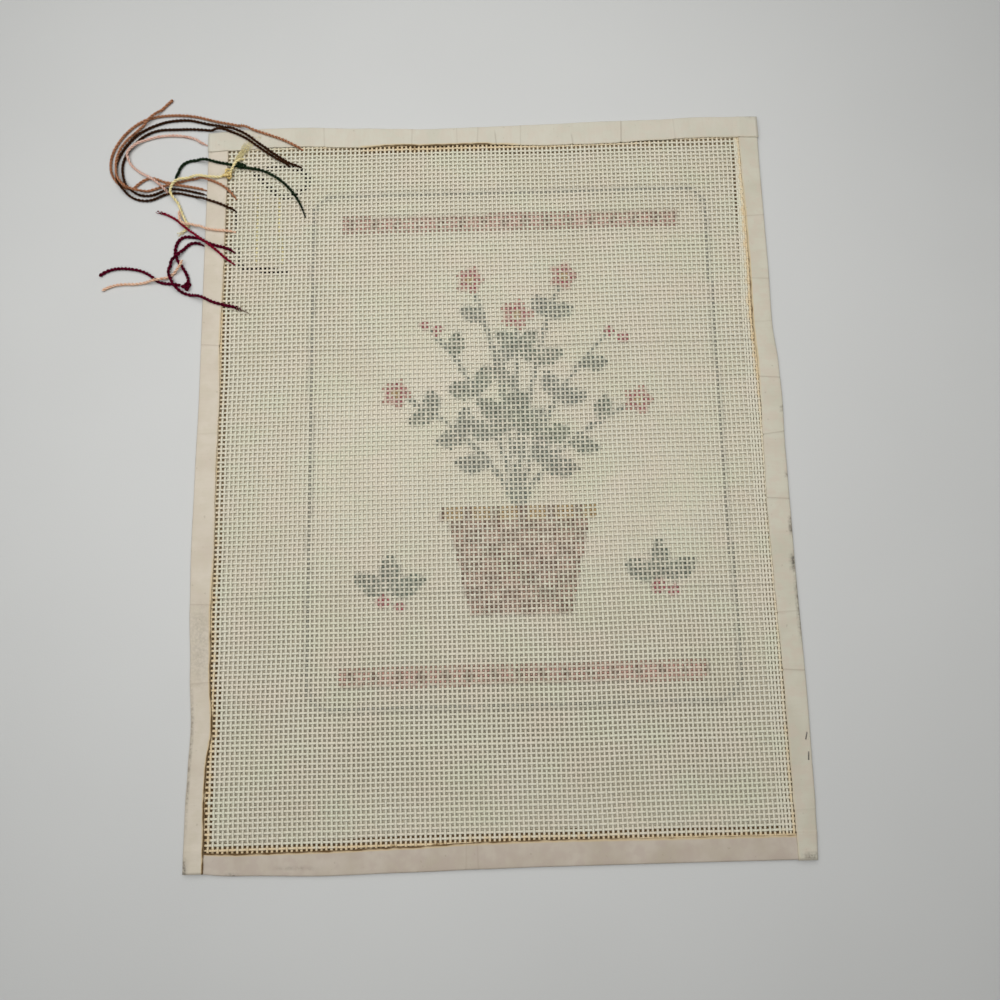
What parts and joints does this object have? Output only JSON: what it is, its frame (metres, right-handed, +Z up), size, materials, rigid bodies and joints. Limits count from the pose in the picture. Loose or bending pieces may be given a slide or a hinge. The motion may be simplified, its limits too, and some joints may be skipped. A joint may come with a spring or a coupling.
{
  "type": "needlepoint canvas panel",
  "caption": "Open-mesh needlepoint canvas panel lying back up, bound on its sides with folded cotton tape, with loose ends of wool yarn at one corner.",
  "frame": {"origin": "centre of the panel without its yarn, on the surface it lies on", "axes": "+X to the right and +Y up the panel as seen from above with its back up, +Z up off the surface"},
  "size_m": [0.3254, 0.369, 0.0082],
  "materials": {
    "canvas_cotton": "stiffened plain weave cotton mesh, cream, with faded paint",
    "canvas_paint": "matt paint soaked into the mesh, seen from the back",
    "binding_tape": "creased cotton tape, cream, soiled along its folds",
    "staple_steel": "dull bent wire",
    "wool_rust": "two-ply tapestry wool, matt and hairy",
    "wool_brown": "two-ply tapestry wool, matt and hairy",
    "wool_green": "two-ply tapestry wool, matt and hairy",
    "wool_pink": "two-ply tapestry wool, matt and hairy",
    "wool_yellow": "two-ply tapestry wool, matt and hairy",
    "wool_maroon": "two-ply tapestry wool, matt and hairy",
    "wool_peach": "two-ply tapestry wool, matt and hairy",
    "wool_crimson": "two-ply tapestry wool, matt and hairy"
  },
  "bodies": {
    "root": {"canvas": "canvas_cotton", "tape_top": "binding_tape", "tape_left": "binding_tape", "tape_right": "binding_tape", "tape_bottom": "binding_tape", "yarn_rust_loop": "wool_rust", "yarn_brown_loop": "wool_brown", "yarn_brown_tuck": "wool_brown", "yarn_rust_tuck": "wool_rust", "yarn_green": "wool_green", "yarn_pink": "wool_pink", "yarn_yellow": "wool_yellow", "yarn_maroon_short": "wool_maroon", "yarn_maroon_tail": "wool_maroon", "yarn_peach_tail": "wool_peach", "yarn_maroon_tuck": "wool_maroon", "yarn_crimson": "wool_crimson", "yarn_peach": "wool_peach"}
  },
  "joints": []
}
